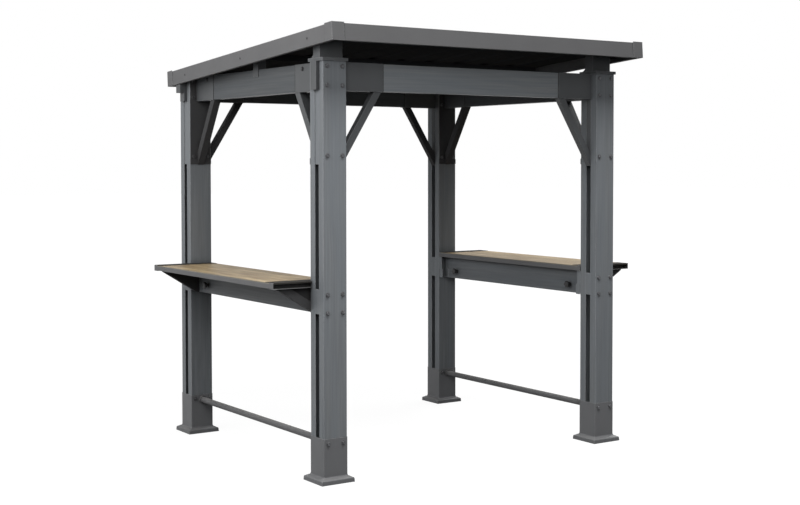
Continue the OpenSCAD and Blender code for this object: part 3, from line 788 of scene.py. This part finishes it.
def bar_boards(side):
    """Row of boards lying in a bar's frame, each a piece of its own, the inner ones stopping at the posts."""
    low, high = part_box(f"{side}_bar_boards")
    front_low, front_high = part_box(f"front_{side}_post")
    back_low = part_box(f"back_{side}_post")[0]
    thick_ends = (low.y + LAP_DEPTH, high.y - LAP_DEPTH)
    width = (high.x - low.x - BOARD_GAP * (BOARD_COUNT - 1)) / BOARD_COUNT
    for number in range(BOARD_COUNT):
        near = low.x + number * (width + BOARD_GAP)
        far = near + width
        beside_post = far > front_low.x - POST_GAP and near < front_high.x + POST_GAP
        ends = (front_high.y + POST_GAP, back_low.y - POST_GAP) if beside_post else (low.y, high.y)
        shape = board_shape(near, far, ends, thick_ends, low.z, high.z)
        name = f"{side}_bar_board_{number + 1}"
        piece = new_piece(name, shape, bar_wood, [f"{side}_bar_boards"])
        share = (TONE_START + number * TONE_STEP + SIDES[side] * TONE_SIDE) % 1
        tone = piece.data.attributes.new("board_tone", "FLOAT", "POINT")
        tone.data.foreach_set("value", [share] * len(piece.data.vertices))


def bar_end_strip(end, side):
    """Dark strip over the boards at one end of a bar, with a hem turned down in front of them."""
    outward = ENDS[end]
    low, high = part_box(f"{side}_bar_boards")
    post_low, post_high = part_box(f"{end}_{side}_post")
    tip, reach = (low.y, post_high.y + POST_GAP) if outward < 0 else (high.y, post_low.y - POST_GAP)
    inner = tip - outward * STRIP_DEPTH
    outer_x, inner_x = (low.x, high.x) if SIDES[side] < 0 else (high.x, low.x)
    post_x = (post_low.x - POST_GAP) if SIDES[side] < 0 else (post_high.x + POST_GAP)
    shape = bmesh.new()
    lip = tip + outward * HEM_T
    outline = [
        (outer_x, lip), (post_x, lip), (post_x, reach), (inner_x, reach), (inner_x, inner), (outer_x, inner),
    ]
    prism(shape, [(x, y, high.z) for x, y in outline], (0, 0, STRIP_T))
    foot_z = high.z - LAP_THICKNESS - SHEET_T
    hem = [(tip, foot_z), (lip, foot_z), (lip, high.z), (tip, high.z)]
    prism(shape, [(outer_x, y, z) for y, z in hem], (post_x - outer_x, 0, 0))
    new_piece(f"{end}_{side}_bar_end_strip", shape, coats["dark trim"])


def flat_plate(low, high, edge):
    """Flat plate between two corners, with rounded edges."""
    shape = bmesh.new()
    outline = [(low[0], low[1]), (high[0], low[1]), (high[0], high[1]), (low[0], high[1])]
    prism(shape, [(x, y, low[2]) for x, y in outline], (0, 0, high[2] - low[2]))
    round_edges(shape, edge)
    return shape


def core_cover(end, side):
    """Printed strip on the head's core, a little behind the post's outer face."""
    low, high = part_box(f"{end}_{side}_post")
    outward = SIDES[side]
    face = (high.x if outward > 0 else low.x) - outward * CORE_RECESS
    middle = (low.y + high.y) / 2
    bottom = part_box("brace_seats")[0].z
    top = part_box("beam_end_caps")[0].z
    reach = sorted((face, face + outward * COVER_T))
    corners = (reach[0], middle - COVER_W / 2, bottom), (reach[1], middle + COVER_W / 2, top)
    new_piece(f"{end}_{side}_core_cover", flat_plate(*corners, EDGE_ROUND), prints["post"])


def head_shade_plate(end, side):
    """Dark plate of painted shade on the side of a post that faces along the bar, from the brace's seat to
    the top.
    """
    low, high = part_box(f"{end}_{side}_post")
    face, inward = (high.y, 1) if ENDS[end] < 0 else (low.y, -1)
    middle = (low.x + high.x) / 2
    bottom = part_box("brace_seats")[1].z
    reach = sorted((face, face + inward * SHADE_PLATE_T))
    corners = (middle - SHADE_PLATE_W / 2, reach[0], bottom), (middle + SHADE_PLATE_W / 2, reach[1], high.z)
    new_piece(f"{end}_{side}_head_shade_plate", flat_plate(*corners, SHADE_PLATE_ROUND), coats["gusset"])


def sleeve_gap_shadows(beam):
    """Painted shadow lines: dark strips where the two sleeves of a beam end, standing in for the shade in the
    gaps.
    """
    low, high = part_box(f"{beam}_beam")
    along, length = ("y", SIDE_SLEEVE) if beam in SIDES else ("x", CROSS_SLEEVE)
    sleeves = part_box("side_beam_sleeves" if beam in SIDES else "cross_beam_sleeves")
    middle = (low + high) / 2
    shape = bmesh.new()
    for way in (-1, 1):
        tip = getattr(high if way > 0 else low, along) - way * length
        near = Vector((middle.x - SLEEVE_W / 2, middle.y - SLEEVE_W / 2, sleeves[0].z))
        far = Vector((middle.x + SLEEVE_W / 2, middle.y + SLEEVE_W / 2, sleeves[1].z))
        near -= Vector.Fill(3, SHADOW_LINE_RISE)
        far += Vector.Fill(3, SHADOW_LINE_RISE)
        setattr(near, along, min(tip, tip - way * SHADOW_LINE_W))
        setattr(far, along, max(tip, tip - way * SHADOW_LINE_W))
        corners = [(near.x, near.y), (far.x, near.y), (far.x, far.y), (near.x, far.y)]
        prism(shape, [(x, y, near.z) for x, y in corners], (0, 0, far.z - near.z))
    new_piece(f"{beam}_sleeve_gap_shadows", shape, coats["black knob"])


def corner_step_shadows(side):
    """Painted shadow lines: dark strips on the fascias beside the two corner covers of one side, standing in
    for the shade at the covers' edges.
    """
    low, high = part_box(f"{side}_fascia")
    outward = SIDES[side]
    down_slope = Vector((0, math.cos(ROOF_PITCH), -math.sin(ROOF_PITCH)))
    drop = Vector((0, -math.sin(ROOF_PITCH), -math.cos(ROOF_PITCH))) * FASCIA_H
    front_top = Vector((high.x if outward > 0 else low.x, low.y - drop.y, high.z))
    length = (high.y - front_top.y) / down_slope.y
    across = Vector((-outward, 0, 0))
    shape = bmesh.new()
    for corner, inward in ((front_top, down_slope), (front_top + down_slope * length, -down_slope)):
        for run, rise in ((inward, -across), (across, -inward)):
            top = corner + run * CORNER_LEG
            proud = rise * SHADOW_LINE_RISE
            prism(shape, [top, top + drop, top + drop + proud, top + proud], run * SHADOW_LINE_W)
    new_piece(f"{side}_corner_step_shadows", shape, coats["black knob"])


def riser_toe(side):
    """Curved toe behind the riser of a front post, on its cap plate."""
    post_low, post_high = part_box(f"front_{side}_post")
    middle = (post_low + post_high) / 2
    foot = post_high.z + CAP_THICKNESS
    face = middle.y + RISER_D / 2
    shares = [step / TOE_STEPS for step in range(TOE_STEPS + 1)]
    outline = [(face, foot)] + [(face + TOE_REACH * (1 - t), foot + TOE_RISE * t ** 2) for t in shares]
    shape = bmesh.new()
    prism(shape, [(middle.x - RISER_W / 2, y, z) for y, z in outline], (RISER_W, 0, 0))
    new_piece(f"front_{side}_riser_toe", shape, coats["head"])


def softbox(name, turn, rise, distance, power):
    """Large soft lamp that looks at the object."""
    lamp = bpy.data.lights.new(f"{name} softbox", "AREA")
    lamp.shape = "RECTANGLE"
    lamp.size, lamp.size_y = SOFTBOX_SIZE
    lamp.energy = power
    away = Vector((-math.sin(turn) * math.cos(rise), -math.cos(turn) * math.cos(rise), math.sin(rise)))
    box = bpy.data.objects.new(lamp.name, lamp)
    box.location = SOFTBOX_AIM + away * distance
    box.rotation_euler = (-away).to_track_quat("-Z", "Y").to_euler()
    bpy.context.scene.collection.objects.link(box)


def seen_directly(tree, path):
    """1 on rays that show the background: straight, mirrored or through glass."""
    mirrored = calc(tree, "MAXIMUM", path["Is Glossy Ray"], path["Is Transmission Ray"])
    return calc(tree, "MAXIMUM", path["Is Camera Ray"], mirrored)


def mix_shaders(tree, share, first, second):
    node = put(tree, "ShaderNodeMixShader")
    for socket, value in zip(node.inputs, (share, first.outputs[0], second.outputs[0])):
        feed(tree, socket, value)
    return node.outputs[0]


def studio_dome():
    """Soft sky of a studio, brighter overhead; it looks white itself."""
    world = bpy.data.worlds.new("studio dome")
    bpy.context.scene.world = world
    world.use_nodes = True
    tree = world.node_tree
    tree.nodes.clear()
    direction = put(tree, "ShaderNodeTexCoord").outputs["Generated"]
    height = put(tree, "ShaderNodeSeparateXYZ", {"Vector": direction}).outputs["Z"]
    strength = span(tree, height, 0.0, 1.0, *DOME_GLOW)
    glow = put(tree, "ShaderNodeBackground", {"Color": WHITE, "Strength": strength})
    white = put(tree, "ShaderNodeBackground", {"Color": WHITE, "Strength": 1.0})
    shown = seen_directly(tree, put(tree, "ShaderNodeLightPath").outputs)
    put(tree, "ShaderNodeOutputWorld", {"Surface": mix_shaders(tree, shown, glow, white)})


def pale_floor():
    """Wide plain floor that looks white, keeps a faint shadow and throws little light back."""
    shape = bmesh.new()
    bmesh.ops.create_grid(shape, x_segments=2, y_segments=2, size=FLOOR_HALF)
    mesh = bpy.data.meshes.new("floor")
    shape.to_mesh(mesh)
    shape.free()
    floor = bpy.data.objects.new("floor", mesh)
    bpy.context.scene.collection.objects.link(floor)
    finish = bpy.data.materials.new("pale floor")
    finish.use_nodes = True
    tree = finish.node_tree
    tree.nodes.clear()
    path = put(tree, "ShaderNodeLightPath").outputs
    colour = mingle(tree, path["Is Camera Ray"], FLOOR_BOUNCE, WHITE)
    matt = put(tree, "ShaderNodeBsdfDiffuse", {"Color": colour})
    white = put(tree, "ShaderNodeEmission", {"Color": WHITE, "Strength": FLOOR_GLOW})
    away = put(tree, "ShaderNodeVectorMath", operation="LENGTH")
    feed(tree, away.inputs[0], put(tree, "ShaderNodeTexCoord").outputs["Object"])
    share = span(tree, away.outputs["Value"], *FLOOR_FADE, *FLOOR_WHITE)
    shown = calc(tree, "MULTIPLY", seen_directly(tree, path), share)
    put(tree, "ShaderNodeOutputMaterial", {"Surface": mix_shaders(tree, shown, matt, white)})
    mesh.materials.append(finish)


def photo_camera():
    lens = bpy.data.cameras.new("camera")
    lens.lens = CAMERA_LENS
    lens.sensor_width = CAMERA_SENSOR
    lens.shift_x, lens.shift_y = CAMERA_SHIFT
    camera = bpy.data.objects.new("camera", lens)
    camera.location = CAMERA_PLACE
    camera.rotation_euler = (math.pi / 2 - CAMERA_DOWN, 0, CAMERA_TURN)
    bpy.context.scene.collection.objects.link(camera)
    bpy.context.scene.camera = camera


coat_steel()
for end, side in CORNERS:
    post_bolts(end, side)
    core_cover(end, side)
    head_shade_plate(end, side)
    bar_end_strip(end, side)
for beam in (*SIDES, *ENDS):
    sleeve_gap_shadows(beam)
for side in SIDES:
    apron_knobs(side)
    fascia_screws(side)
    sleeve_bolts(side)
    bar_boards(side)
    corner_step_shadows(side)
    riser_toe(side)
roof_screws()

studio_dome()
pale_floor()
for name, (turn, rise, distance, power) in SOFTBOXES.items():
    softbox(name, math.radians(turn), math.radians(rise), distance, power)
photo_camera()
bpy.context.scene.view_settings.view_transform = "Standard"
